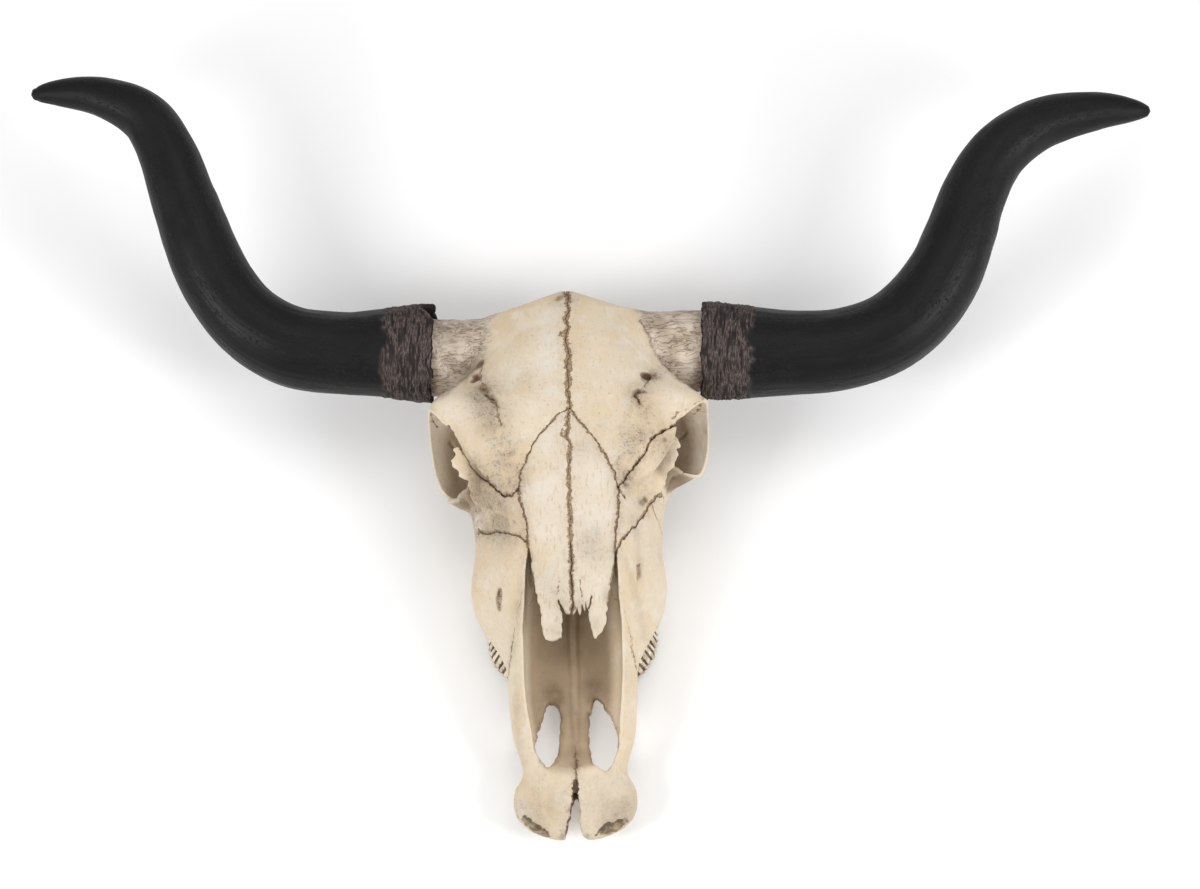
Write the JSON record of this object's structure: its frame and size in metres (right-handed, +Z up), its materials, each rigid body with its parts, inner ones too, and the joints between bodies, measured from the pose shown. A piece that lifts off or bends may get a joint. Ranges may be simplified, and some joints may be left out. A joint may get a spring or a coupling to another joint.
{
  "type": "longhorn steer skull",
  "caption": "Still, life-size skull of a longhorn steer, face up, with long dark horn sheaths on bony cores, open nose and eye sockets, and cheek teeth.",
  "frame": {"origin": "on the floor, under the middle of the whole skull with its horns", "axes": "+X across the skull towards the animal's left horn, +Y from the muzzle to the poll, +Z up through the face"},
  "size_m": [1.0712, 0.7248, 0.1847],
  "materials": {
    "skull_bone": "dry cream bone, matte",
    "nasal_bone": "paler dry bone, fine grain",
    "core_bone": "rough porous horn-core bone",
    "horn": "satin near-black horn"
  },
  "bodies": {
    "root": {"nasal_left": "nasal_bone", "nasal_right": "nasal_bone", "frontal_left": "skull_bone", "frontal_right": "skull_bone", "lacrimal_left": "skull_bone", "lacrimal_right": "skull_bone", "zygomatic_left": "skull_bone", "zygomatic_right": "skull_bone", "premaxilla_left": "skull_bone", "premaxilla_right": "skull_bone", "temporal_left": "skull_bone", "temporal_right": "skull_bone", "palatine_left": "skull_bone", "palatine_right": "skull_bone", "maxilla_left": "skull_bone", "maxilla_right": "skull_bone", "horn_core_left": "core_bone", "horn_sheath_left": "horn", "horn_core_right": "core_bone", "horn_sheath_right": "horn", "occipital": "skull_bone", "sphenoid": "skull_bone", "vomer": "skull_bone"}
  },
  "joints": []
}
